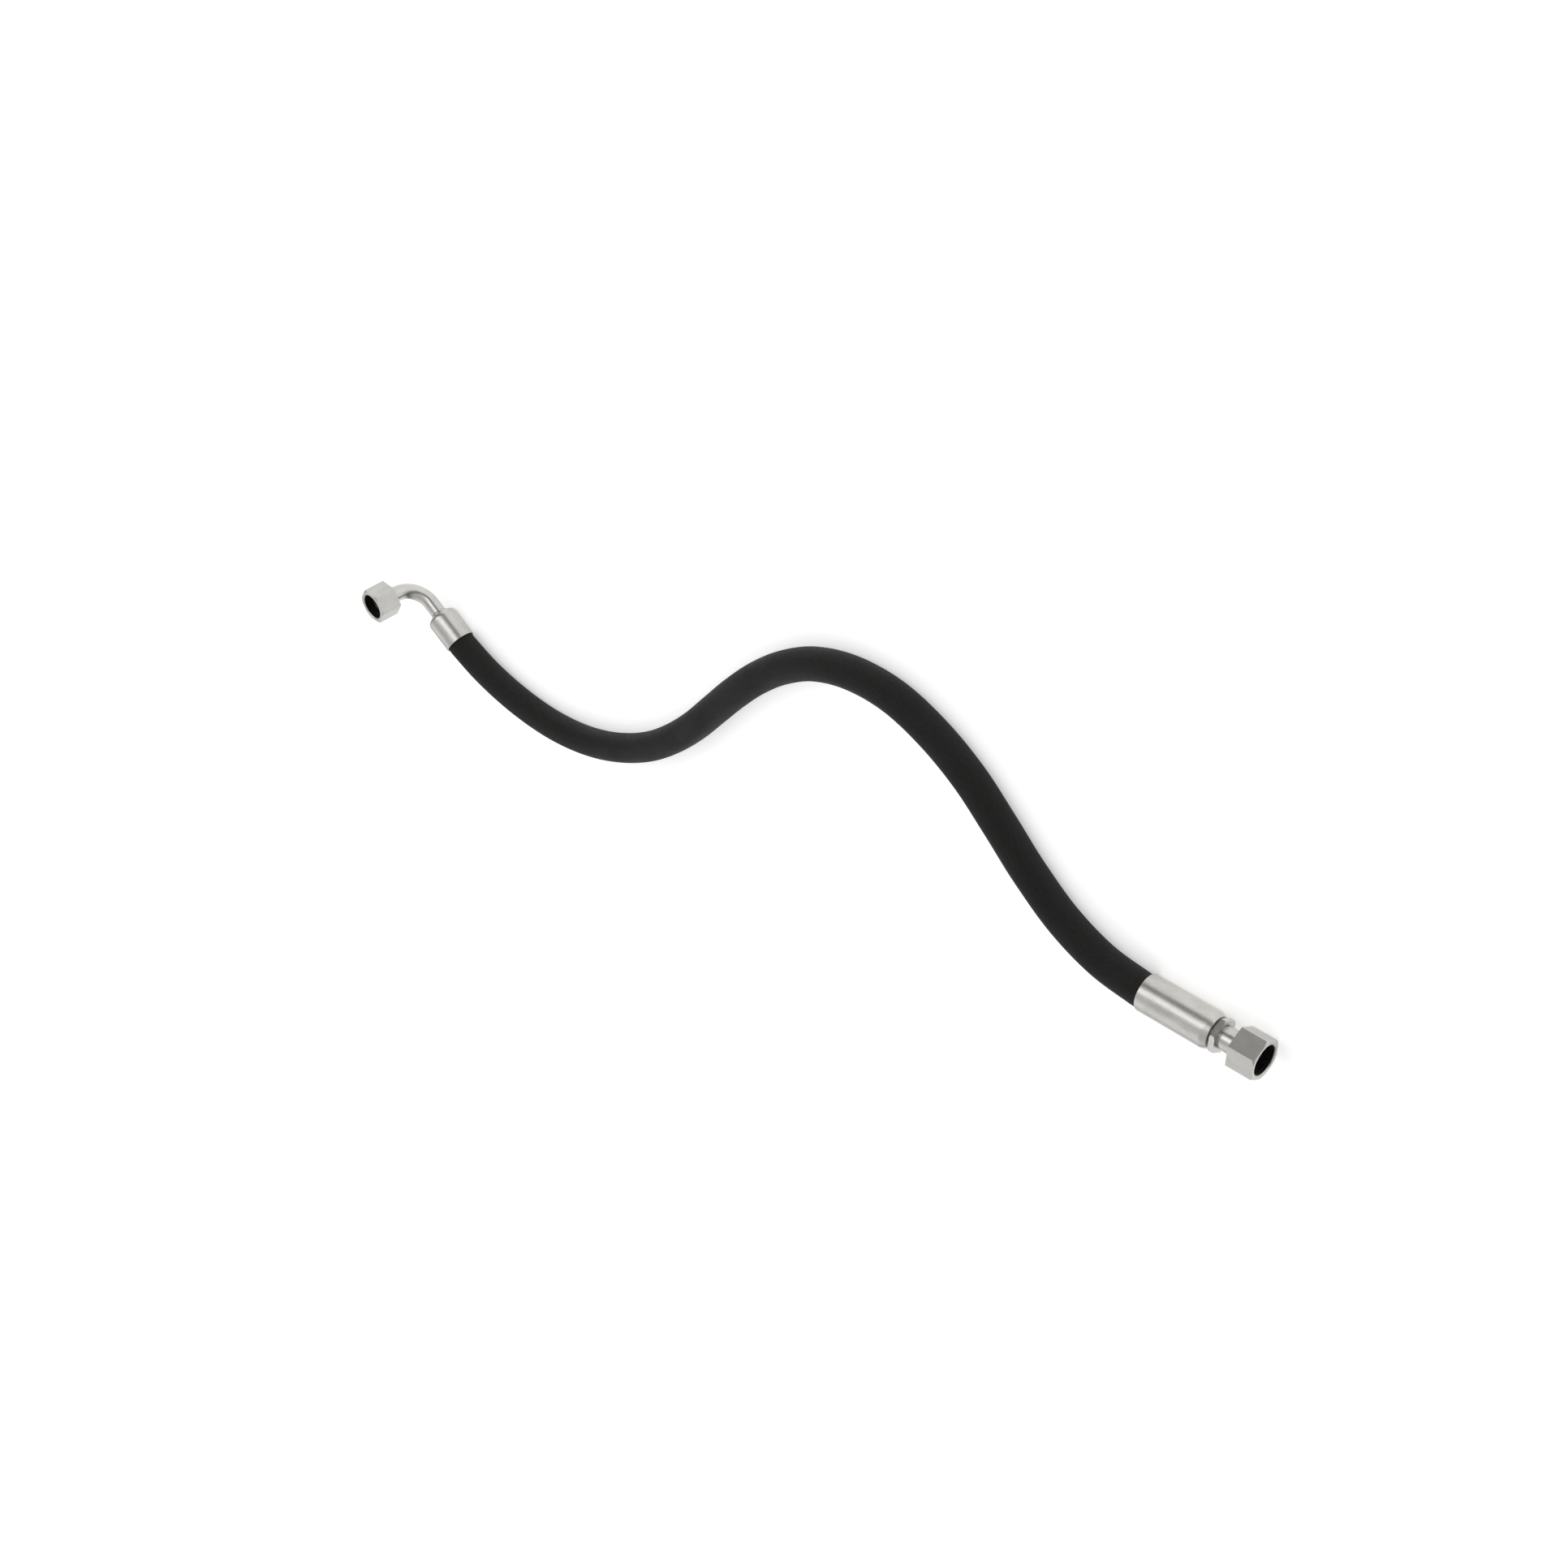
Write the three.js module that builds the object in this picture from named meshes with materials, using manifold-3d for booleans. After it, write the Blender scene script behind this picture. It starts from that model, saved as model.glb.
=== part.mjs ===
// Hydraulic hose assembly: a four-wire-spiral hose with a crimped straight swivel fitting at one end
// and a crimped 90 degree elbow swivel fitting at the other. Millimetres, +Z up. The hose lies on the
// plane z = 0, +X runs out of the straight end's nut, and the elbow's nut opens straight up.
import * as THREE from 'three';
import { mergeVertices } from 'three/addons/utils/BufferGeometryUtils.js';
import Module from 'manifold-3d';

const wasm = await Module();
wasm.setup();

// ---- driving dimensions -------------------------------------------------------------------------

const fitGap = 0.3;              // clearance between pieces that touch on the real object
const degree = Math.PI / 180;

const hose = {
  outerRadius: 10.8,
  boreRadius: 4.75,
  tubeWall: 1.1,
  wirePly: 0.3,
  rubberSkin: 0.2,
  plyCount: 4,
  plyGap: 0.12,
  sides: 8,
  steps: 22,
  straightRun: 4,                // how far the hose runs straight out of each ferrule
  settleLength: 90,              // in which it comes down from a ferrule's axis to lie flat
};

const nut = {
  acrossFlats: 24,
  length: 17.4,
  threadRadius: 9.2,
  threadDepth: 10,
  reliefRadius: 10.1,
  reliefWidth: 1.5,
  frontFaceRadius: 12.3,
  rearFaceRadius: 13.5,
  leadIn: 1,
};

const seat = {                   // the 24 degree cone inside each nut
  recess: 5,
  tipRadius: 5.1,
  coneLength: 7,
  halfAngle: 12 * degree,
  grooveBack: 5.2,
  grooveWidth: 2,
  grooveRadius: 4.6,
  boreRadius: 3.4,
};

const oRing = { sectionRadius: 0.7 };

const straight = {
  mouthX: 397.5,
  axisY: -19.9,
  turn: 24.8 * degree,           // how far the hexagons are turned about the axis
  neckRadius: 7.5,
  neckClearance: 0.3,
  collarAcrossFlats: 20,
  collarFront: 27.3,
  collarThickness: 3.7,
  collarFaceRadius: 10.6,
  neckReliefWidth: 1,
  neckReliefDepth: 0.8,
  ferruleGap: 1.3,
  ferruleLength: 49,
  ferruleChamfer: 4,
  ferruleChamferDepth: 1.6,
};

const wire = { sectionRadius: 0.55, back: 15.2 };

const elbow = {
  nutX: -383.7,
  nutY: -35.3,
  heading: -36.5 * degree,       // from the nut's axis along the ferrule towards the hose
  turn: -5.2 * degree,
  rise: 42.3,                    // from the ferrule's axis up to the nut's mouth
  reach: 31.5,                   // from the nut's axis to the ferrule's front
  bendRadius: 20,
  tubeRadius: 6,
  tubeWall: 1.5,
  tubeSides: 12,
  ferruleLength: 26.5,
  shoulderRadius: 4.4,
  headRadius: 8.6,
  headBack: 14,
  headTail: 1.6,
};

const insert = {                 // the elbow's tail piece, which holds the tube and the hose
  noseLength: 1.2,
  noseRadius: 7.4,
  grooveRadius: 7,
  bodyRadius: 7.6,
  bodyLength: 8,
  socketDepth: 6.3,
};

const ferrule = {
  outerRadius: 12,
  frontWall: 3,
  rearLip: 4,
  toothPitch: 8,
  toothWidth: 2.6,
  toothDepth: 0.6,
  edge: 0.5,
};

const tail = {                   // the barbed part inside the hose
  radius: 4.45,
  barbDepth: 0.4,
  barbPitch: 9,
  barbWidth: 3,
  grooveRadius: 5.8,
  shoulderRadius: 6.8,
  shoulderWidth: 1.6,
  rearSetback: 3.5,
};

const roundSides = 20;

// The hose's centre line from elbow to straight end, between the two ferrules.
const routePoints = [
  [-308, -85.5],
  [-276, -95.5],
  [-243, -99.5],
  [-210, -97.5],
  [-177.5, -90],
  [-146.5, -77.5],
  [-117.5, -61],
  [-91.5, -41],
  [-67, -18],
  [-44.5, 6.5],
  [-22, 31],
  [2, 54.5],
  [28, 75],
  [57, 91],
  [89, 99],
  [122.5, 97.5],
  [153.5, 85.5],
  [181, 67],
  [204.5, 43.5],
  [227.5, 19],
  [253, -2],
  [283, -15.5],
];

// ---- sizes that follow --------------------------------------------------------------------------

const cornerRadius = (acrossFlats) => acrossFlats / Math.sqrt(3);
const straightAxisZ = cornerRadius(nut.acrossFlats) * Math.cos(straight.turn);
const elbowAxisZ = ferrule.outerRadius;
const coneEndRadius = seat.tipRadius + seat.coneLength * Math.tan(seat.halfAngle);
const coneEnd = seat.recess + seat.coneLength;
const collarRear = straight.collarFront + straight.collarThickness;
const straightFerruleFront = collarRear + straight.ferruleGap;
const straightFerruleRear = straightFerruleFront + straight.ferruleLength;
const elbowFerruleRear = elbow.reach + elbow.ferruleLength;
const straightLipRadius = tail.grooveRadius + fitGap;
const elbowLipRadius = insert.grooveRadius + fitGap;
const coverRadius = hose.outerRadius + fitGap;
const straightHoseEnd = straightFerruleFront + ferrule.frontWall + fitGap + tail.shoulderWidth + fitGap;
const elbowHoseEnd = elbow.reach + insert.bodyLength + fitGap;
const coverOverlap = ferrule.rearLip - fitGap;

const plies = hoseLayers();
const reinforcementRadius = plies[plies.length - 2].outer;

// The layers are drawn with flat sides, and the innermost flats clear the round bore.
function hoseLayers() {
  const layers = [];
  let inner = hose.boreRadius / Math.cos(Math.PI / hose.sides);
  const add = (name, wall, colour, roughness) => {
    layers.push({ name, inner, outer: inner + wall, colour, roughness });
    inner += wall + hose.plyGap;
  };
  add('hose_inner_tube', hose.tubeWall, 0x1b1b1b, 0.6);
  for (let ply = 1; ply <= hose.plyCount; ply++) {
    add(`hose_wire_spiral_${ply}`, hose.wirePly, 0xb09a62, 0.35);
    if (ply < hose.plyCount) {
      add(`hose_rubber_skin_${ply}`, hose.rubberSkin, 0x24221f, 0.8);
    }
  }
  add('hose_cover', hose.outerRadius - inner, 0x222221, 0.75);
  return layers;
}

// ---- geometry helpers ---------------------------------------------------------------------------

// A body turned about its local Z axis, from [radius, z] points that close on themselves.
function turned(profile, sides = roundSides) {
  const points = [...profile, profile[0]].map(([radius, z]) => new THREE.Vector2(radius, z));
  const geometry = new THREE.LatheGeometry(points, sides);
  geometry.rotateX(Math.PI / 2);
  return geometry;
}

function circlePoints(radius, sides) {
  const points = [];
  for (let i = 0; i < sides; i++) {
    const angle = (i / sides) * 2 * Math.PI;
    points.push(new THREE.Vector2(radius * Math.cos(angle), radius * Math.sin(angle)));
  }
  return points;
}

// A hexagonal bar between two heights on the local Z axis, with a corner on local X.
function hexagonBar(acrossFlats, low, high) {
  const shape = new THREE.Shape(circlePoints(cornerRadius(acrossFlats), 6));
  const geometry = new THREE.ExtrudeGeometry(shape, { depth: high - low, bevelEnabled: false });
  geometry.translate(0, 0, low);
  return geometry;
}

function solid(geometry) {
  const plain = geometry.clone();
  plain.deleteAttribute('normal');
  plain.deleteAttribute('uv');
  const merged = mergeVertices(plain, 1e-4);
  return new wasm.Manifold(new wasm.Mesh({
    numProp: 3,
    vertProperties: new Float32Array(merged.attributes.position.array),
    triVerts: new Uint32Array(merged.index.array),
  }));
}

function geometryOf(manifold) {
  const mesh = manifold.getMesh();
  const geometry = new THREE.BufferGeometry();
  geometry.setAttribute('position', new THREE.BufferAttribute(new Float32Array(mesh.vertProperties), 3));
  geometry.setIndex(new THREE.BufferAttribute(new Uint32Array(mesh.triVerts), 1));
  geometry.computeVertexNormals();
  return geometry;
}

function piece(name, geometry, colour, roughness, metalness) {
  const material = new THREE.MeshStandardMaterial({ color: colour, roughness, metalness });
  const mesh = new THREE.Mesh(geometry, material);
  mesh.name = name;
  return mesh;
}

const platedSteel = (name, geometry) => piece(name, geometry, 0xc6c4bd, 0.35, 1);
const sealRubber = (name, geometry) => piece(name, geometry, 0x1a1a1a, 0.5, 0);

// A closed path made of fixed stations, so that every layer of the hose bends at the same places.
class StationPath extends THREE.Curve {
  constructor(stations) {
    super();
    this.stations = stations;
  }

  stationAt(u) {
    return this.stations[Math.round(u * (this.stations.length - 1))];
  }

  getPoint(u) {
    return this.stationAt(u).point.clone();
  }

  getPointAt(u) {
    return this.getPoint(u);
  }

  getTangentAt(u) {
    return this.stationAt(u).tangent.clone();
  }

  // The section keeps one corner straight down all the way along.
  computeFrenetFrames() {
    const tangents = this.stations.map((station) => station.tangent.clone());
    const normals = tangents.map((tangent) => {
      const up = new THREE.Vector3(0, 0, 1);
      return up.addScaledVector(tangent, -tangent.z).normalize();
    });
    const binormals = tangents.map((tangent, i) => new THREE.Vector3().crossVectors(tangent, normals[i]));
    return { tangents, normals, binormals };
  }
}

// ---- the two nuts -------------------------------------------------------------------------------

// Nuts and everything inside them are drawn with the mouth at z = 0 and the hose side below it.
function nutShell(innerProfile) {
  const corner = cornerRadius(nut.acrossFlats) + 1;
  const frontDrop = (corner - nut.frontFaceRadius) * Math.tan(30 * degree);
  const rearRise = (corner - nut.rearFaceRadius) * Math.tan(30 * degree);
  const turnedBody = turned([
    ...innerProfile,
    [nut.rearFaceRadius, -nut.length],
    [corner, -nut.length + rearRise],
    [corner, -frontDrop],
    [nut.frontFaceRadius, 0],
  ]);
  const bar = hexagonBar(nut.acrossFlats, -nut.length - 1, 1);
  return geometryOf(solid(bar).intersect(solid(turnedBody)));
}

function threadedMouth() {
  return [
    [nut.threadRadius + nut.leadIn, 0],
    [nut.threadRadius, -nut.leadIn],
    [nut.threadRadius, -nut.threadDepth],
    [nut.reliefRadius, -nut.threadDepth],
    [nut.reliefRadius, -nut.threadDepth - nut.reliefWidth],
    [nut.threadRadius, -nut.threadDepth - nut.reliefWidth],
  ];
}

function straightNut() {
  const bore = straight.neckRadius + straight.neckClearance;
  const relief = nut.threadDepth + nut.reliefWidth;
  const halfGroove = wire.sectionRadius + fitGap;
  const inner = [
    ...threadedMouth(),
    [bore, -relief - (nut.threadRadius - bore)],
    [bore, -wire.back + halfGroove],
    [wireCentreRadius() + halfGroove, -wire.back + halfGroove],
    [wireCentreRadius() + halfGroove, -wire.back - halfGroove],
    [bore, -wire.back - halfGroove],
    [bore, -nut.length],
  ];
  return platedSteel('straight_swivel_nut', nutShell(inner));
}

function elbowNut() {
  const bore = elbow.tubeRadius + straight.neckClearance + 0.1;
  const slope = elbow.headRadius + elbow.headBack + fitGap * Math.SQRT2;
  const inner = [
    ...threadedMouth(),
    [nut.threadRadius, nut.threadRadius - slope],
    [bore, bore - slope],
    [bore, -nut.length],
  ];
  return platedSteel('elbow_swivel_nut', nutShell(inner));
}

function wireCentreRadius() {
  return straight.neckRadius + straight.neckClearance / 2;
}

// ---- the cone seats, with their O-rings ---------------------------------------------------------

function coneRadiusAt(back) {
  return seat.tipRadius + (back - seat.recess) * Math.tan(seat.halfAngle);
}

// From the bore out over the tip, back along the cone and through the O-ring groove.
function coneProfile() {
  const grooveFront = seat.recess + seat.grooveBack - seat.grooveWidth;
  const grooveRear = seat.recess + seat.grooveBack;
  return [
    [coneEndRadius, -coneEnd],
    [coneRadiusAt(grooveRear), -grooveRear],
    [seat.grooveRadius, -grooveRear],
    [seat.grooveRadius, -grooveFront],
    [coneRadiusAt(grooveFront), -grooveFront],
    [seat.tipRadius, -seat.recess],
    [seat.boreRadius + 0.6, -seat.recess],
    [seat.boreRadius, -seat.recess - 1],
  ];
}

function sectionRing(centreRadius, sectionRadius, z, sectionSides) {
  const profile = circlePoints(sectionRadius, sectionSides).map((p) => [centreRadius + p.x, z + p.y]);
  return turned(profile);
}

function sealRing(name) {
  const centre = seat.grooveRadius + fitGap + oRing.sectionRadius;
  const back = seat.recess + seat.grooveBack - seat.grooveWidth / 2;
  return sealRubber(name, sectionRing(centre, oRing.sectionRadius, -back, 8));
}

function thrustWire() {
  return platedSteel('straight_thrust_wire', sectionRing(wireCentreRadius(), wire.sectionRadius, -wire.back, 6));
}

// ---- tails, ferrules and the nipple -------------------------------------------------------------

// Outer outline of a barbed tail, from its free end at `end` up to `start`, both counted back.
function barbs(start, end) {
  const points = [[tail.radius - tail.barbDepth, -end]];
  const count = Math.floor((end - start) / tail.barbPitch);
  for (let i = count; i >= 1; i--) {
    const back = start + i * tail.barbPitch;
    points.push([tail.radius - tail.barbDepth, -back]);
    points.push([tail.radius, -back + tail.barbWidth]);
    points.push([tail.radius - tail.barbDepth, -back + tail.barbWidth]);
  }
  points.push([tail.radius - tail.barbDepth, -start]);
  return points;
}

// Inner outline of a ferrule, from its front wall back to its rear face, with the biting teeth.
function ferruleInside(front, length, lipRadius) {
  const toothRadius = reinforcementRadius + fitGap;
  const pocketRadius = toothRadius + ferrule.toothDepth;
  const rear = front + length;
  const cavity = front + ferrule.frontWall;
  const lip = rear - ferrule.rearLip;
  const points = [
    [lipRadius, -front],
    [lipRadius, -cavity],
    [pocketRadius, -cavity],
  ];
  const count = Math.floor((lip - cavity - ferrule.toothWidth) / ferrule.toothPitch);
  for (let i = 1; i <= count; i++) {
    const back = cavity + i * ferrule.toothPitch;
    points.push([pocketRadius, -back + ferrule.toothWidth]);
    points.push([toothRadius, -back + ferrule.toothWidth / 2]);
    points.push([toothRadius, -back]);
    points.push([pocketRadius, -back]);
  }
  points.push([pocketRadius, -lip]);
  points.push([coverRadius, -lip]);
  points.push([coverRadius, -rear]);
  return points;
}

function rearEdge(rear) {
  return [
    [ferrule.outerRadius - ferrule.edge, -rear],
    [ferrule.outerRadius, -rear + ferrule.edge],
  ];
}

function straightFerrule() {
  const front = straightFerruleFront;
  return platedSteel('straight_ferrule', turned([
    ...ferruleInside(front, straight.ferruleLength, straightLipRadius),
    ...rearEdge(straightFerruleRear),
    [ferrule.outerRadius, -front - straight.ferruleChamfer],
    [ferrule.outerRadius - straight.ferruleChamferDepth, -front],
  ]));
}

function elbowFerrule() {
  const shoulder = [];
  for (let i = 0; i <= 4; i++) {
    const angle = (i / 4) * 90 * degree;
    shoulder.push([
      ferrule.outerRadius - elbow.shoulderRadius * (1 - Math.cos(angle)),
      -elbow.reach - elbow.shoulderRadius * (1 - Math.sin(angle)),
    ]);
  }
  return platedSteel('elbow_ferrule', turned([
    ...ferruleInside(elbow.reach, elbow.ferruleLength, elbowLipRadius),
    ...rearEdge(elbowFerruleRear),
    ...shoulder,
  ]));
}

function straightNipple() {
  const halfGroove = wire.sectionRadius + fitGap;
  const wireGroove = wireCentreRadius() - halfGroove;
  const reliefRadius = straight.neckRadius - straight.neckReliefDepth;
  const lipRear = straightFerruleFront + ferrule.frontWall + fitGap;
  const shoulderRear = lipRear + tail.shoulderWidth;
  const tailEnd = straightFerruleRear - tail.rearSetback;
  const body = turned([
    [seat.boreRadius, -tailEnd],
    ...barbs(shoulderRear, tailEnd),
    [tail.shoulderRadius, -shoulderRear],
    [tail.shoulderRadius, -lipRear],
    [tail.grooveRadius, -lipRear],
    [tail.grooveRadius, -collarRear],
    [reliefRadius, -collarRear],
    [reliefRadius, -straight.collarFront + straight.neckReliefWidth],
    [straight.neckRadius, -straight.collarFront + straight.neckReliefWidth],
    [straight.neckRadius, -wire.back - halfGroove],
    [wireGroove, -wire.back - halfGroove],
    [wireGroove, -wire.back + halfGroove],
    [straight.neckRadius, -wire.back + halfGroove],
    [straight.neckRadius, -coneEnd - (straight.neckRadius - coneEndRadius)],
    ...coneProfile(),
  ]);
  return platedSteel('straight_nipple', geometryOf(solid(body).add(hexagonCollar())));
}

function hexagonCollar() {
  const corner = cornerRadius(straight.collarAcrossFlats) + 1;
  const drop = (corner - straight.collarFaceRadius) * Math.tan(30 * degree);
  const ringInner = tail.grooveRadius - 1;
  const ring = turned([
    [ringInner, -collarRear],
    [straight.collarFaceRadius, -collarRear],
    [corner, -collarRear + drop],
    [corner, -straight.collarFront - drop],
    [straight.collarFaceRadius, -straight.collarFront],
    [ringInner, -straight.collarFront],
  ]);
  const bar = hexagonBar(straight.collarAcrossFlats, -collarRear - 1, -straight.collarFront + 1);
  return solid(bar).intersect(solid(ring));
}

// ---- the elbow ----------------------------------------------------------------------------------

function elbowTailInsert() {
  const front = elbow.reach;
  const lipRear = front + ferrule.frontWall + fitGap;
  const bodyRear = front + insert.bodyLength;
  const tailEnd = elbowFerruleRear - tail.rearSetback;
  const socket = elbow.tubeRadius + fitGap;
  return platedSteel('elbow_tail_insert', turned([
    [seat.boreRadius, -tailEnd],
    ...barbs(bodyRear, tailEnd),
    [insert.bodyRadius, -bodyRear],
    [insert.bodyRadius, -lipRear],
    [insert.grooveRadius, -lipRear],
    [insert.grooveRadius, -front + fitGap],
    [insert.noseRadius, -front + fitGap],
    [insert.noseRadius, -front + insert.noseLength],
    [socket, -front + insert.noseLength],
    [socket, -front - insert.socketDepth],
    [seat.boreRadius, -front - insert.socketDepth],
  ]));
}

function brazeRing() {
  const inner = elbow.tubeRadius + fitGap / 2;
  const low = -elbow.reach + insert.noseLength + fitGap / 2;
  return piece('elbow_braze_ring', turned([
    [inner, low],
    [insert.noseRadius - 0.2, low],
    [inner + 0.3, low + 0.9],
    [inner, low + 0.9],
  ]), 0xb9b2a0, 0.4, 1);
}

function elbowConeHead() {
  const socket = elbow.tubeRadius + fitGap;
  const bottom = coneEnd + 0.6;
  const rear = elbow.headBack + elbow.headTail;
  return platedSteel('elbow_cone_head', turned([
    [seat.boreRadius, -bottom],
    [socket, -bottom],
    [socket, -rear],
    [elbow.headRadius - elbow.headTail, -rear],
    [elbow.headRadius, -elbow.headBack],
    [elbow.headRadius, -coneEnd],
    ...coneProfile(),
  ]));
}

// The bent tube, from its socket in the tail insert to its socket in the cone head. It is drawn in
// the elbow's own upright plane: x towards the hose, z up, with the nut's axis on x = 0.
function elbowTube() {
  const stations = [];
  const place = (x, z, angle) => {
    stations.push({
      point: new THREE.Vector3(x, 0, z),
      tangent: new THREE.Vector3(-Math.cos(angle), 0, Math.sin(angle)),
    });
  };
  const bendSteps = 8;
  place(elbow.reach + insert.socketDepth - fitGap, 0, 0);
  for (let i = 0; i <= bendSteps; i++) {
    const angle = (i / bendSteps) * 90 * degree;
    const x = elbow.bendRadius * (1 - Math.sin(angle));
    const z = elbow.bendRadius * (1 - Math.cos(angle));
    place(x, z, angle);
  }
  place(0, elbow.rise - coneEnd - 0.6 - fitGap, 90 * degree);
  const path = new StationPath(stations);
  path.computeFrenetFrames = () => {
    const tangents = stations.map((station) => station.tangent);
    const normals = stations.map(() => new THREE.Vector3(0, 1, 0));
    const binormals = tangents.map((tangent, i) => new THREE.Vector3().crossVectors(tangent, normals[i]));
    return { tangents, normals, binormals };
  };
  const shape = ring(elbow.tubeRadius, elbow.tubeRadius - elbow.tubeWall, elbow.tubeSides);
  const geometry = new THREE.ExtrudeGeometry(shape, {
    steps: stations.length - 1,
    extrudePath: path,
    bevelEnabled: false,
  });
  return platedSteel('elbow_tube', geometry);
}

// ---- the hose -----------------------------------------------------------------------------------

function ring(outerRadius, innerRadius, sides) {
  const shape = new THREE.Shape(circlePoints(outerRadius, sides));
  shape.holes.push(new THREE.Path(circlePoints(innerRadius, sides).reverse()));
  return shape;
}

function straightAxisPoint(back) {
  return new THREE.Vector3(straight.mouthX - back, straight.axisY, straightAxisZ);
}

function elbowAxisPoint(back) {
  return new THREE.Vector3(
    elbow.nutX + back * Math.cos(elbow.heading),
    elbow.nutY + back * Math.sin(elbow.heading),
    elbowAxisZ,
  );
}

// How much of a ferrule's height above the lying hose is left at a distance from the ferrule.
function liftLeft(distance) {
  return 1 - THREE.MathUtils.smoothstep(distance, 0, hose.settleLength);
}

// Straight inside both ferrules and just outside them, and along the route in between.
function hoseStations() {
  const outOfElbow = new THREE.Vector3(Math.cos(elbow.heading), Math.sin(elbow.heading), 0);
  const intoStraight = new THREE.Vector3(1, 0, 0);
  const start = elbowAxisPoint(elbowFerruleRear + hose.straightRun);
  const end = straightAxisPoint(straightFerruleRear + hose.straightRun);
  const flat = [start, ...routePoints.map(([x, y]) => new THREE.Vector3(x, y)), end];
  flat.forEach((point) => point.setZ(hose.outerRadius));
  const spline = new THREE.CatmullRomCurve3(flat, false, 'centripetal');
  const length = spline.getLength();
  const elbowLift = elbowAxisZ - hose.outerRadius;
  const straightLift = straightAxisZ - hose.outerRadius;
  const stations = [];
  for (let i = 0; i <= hose.steps; i++) {
    const u = i / hose.steps;
    const point = spline.getPointAt(u);
    point.z += elbowLift * liftLeft(u * length) + straightLift * liftLeft((1 - u) * length);
    stations.push({ point, tangent: spline.getTangentAt(u) });
  }
  stations[0].tangent = outOfElbow;
  stations[hose.steps].tangent = intoStraight;
  return [
    { point: elbowAxisPoint(elbowHoseEnd), tangent: outOfElbow },
    { point: elbowAxisPoint(elbowFerruleRear - coverOverlap), tangent: outOfElbow },
    ...stations,
    { point: straightAxisPoint(straightFerruleRear - coverOverlap), tangent: intoStraight },
    { point: straightAxisPoint(straightHoseEnd), tangent: intoStraight },
  ];
}

function hosePieces() {
  const stations = hoseStations();
  return plies.map((layer) => {
    const own = layer.name === 'hose_cover' ? stations.slice(1, -1) : stations;
    const geometry = new THREE.ExtrudeGeometry(ring(layer.outer, layer.inner, hose.sides), {
      steps: own.length - 1,
      extrudePath: new StationPath(own),
      bevelEnabled: false,
    });
    return piece(layer.name, geometry, layer.colour, layer.roughness, layer.name.includes('wire') ? 1 : 0);
  });
}

// ---- the assembly -------------------------------------------------------------------------------

function straightEnd() {
  const end = new THREE.Group();
  end.add(straightFerrule(), straightNipple(), sealRing('straight_o_ring'), thrustWire(), straightNut());
  for (const mesh of end.children) {
    mesh.rotation.z = Math.PI + straight.turn;
  }
  const holder = new THREE.Group();
  holder.add(end);
  end.rotation.y = Math.PI / 2;
  holder.position.copy(straightAxisPoint(0));
  return holder;
}

// The elbow's ferrule side points back from the hose, so its local +Z runs towards the nut's axis.
function elbowEnd() {
  const crimped = new THREE.Group();
  crimped.add(elbowFerrule(), elbowTailInsert(), brazeRing());
  crimped.rotation.y = -Math.PI / 2;
  const top = new THREE.Group();
  top.add(elbowConeHead(), sealRing('elbow_o_ring'), elbowNut());
  for (const mesh of top.children) {
    mesh.rotation.z = elbow.turn - elbow.heading;
  }
  top.position.z = elbow.rise;
  const end = new THREE.Group();
  end.add(crimped, elbowTube(), top);
  end.rotation.z = elbow.heading;
  end.position.set(elbow.nutX, elbow.nutY, elbowAxisZ);
  return end;
}

const assembly = new THREE.Group();
assembly.add(...hosePieces(), straightEnd(), elbowEnd());
export default assembly;
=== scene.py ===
"""Looks of the hydraulic hose assembly: smooth turned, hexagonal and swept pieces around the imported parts."""
import math
import bpy
from mathutils import Matrix, Vector


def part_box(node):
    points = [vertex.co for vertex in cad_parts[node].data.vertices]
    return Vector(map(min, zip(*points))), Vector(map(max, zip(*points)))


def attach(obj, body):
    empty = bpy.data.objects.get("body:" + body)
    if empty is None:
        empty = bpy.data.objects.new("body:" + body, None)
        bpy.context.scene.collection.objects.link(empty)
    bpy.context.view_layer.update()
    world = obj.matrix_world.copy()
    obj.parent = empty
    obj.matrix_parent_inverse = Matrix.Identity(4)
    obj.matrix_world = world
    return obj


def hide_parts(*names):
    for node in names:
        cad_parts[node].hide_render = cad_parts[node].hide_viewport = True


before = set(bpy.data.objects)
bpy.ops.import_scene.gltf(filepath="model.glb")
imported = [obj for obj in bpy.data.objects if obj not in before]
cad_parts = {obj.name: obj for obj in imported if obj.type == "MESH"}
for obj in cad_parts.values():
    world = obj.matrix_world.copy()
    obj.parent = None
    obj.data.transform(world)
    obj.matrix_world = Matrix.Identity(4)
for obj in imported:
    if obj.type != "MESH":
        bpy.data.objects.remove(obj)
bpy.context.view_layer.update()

MM = 0.001
DEGREE = math.pi / 180

# ---- sizes, in millimetres as on the drawing of the parts ---------------------------------------

GAP = 0.3
COVER_RADIUS = 10.8
STRAIGHT_RUN = 4
SETTLE_LENGTH = 90
ELBOW_HEADING = -36.5 * DEGREE
ELBOW_TURN = -5.2 * DEGREE
STRAIGHT_TURN = 24.8 * DEGREE
BEND_RADIUS = 20
TUBE_RADIUS = 6
TUBE_BORE = 4.5

NUT = {"flats": 24, "length": 17.4, "front": 12.3, "rear": 13.5, "minor": 9.2, "major": 10,
       "pitch": 1.5, "depth": 10, "relief": 10.1, "relief_width": 1.5, "lead_in": 1}
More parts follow.
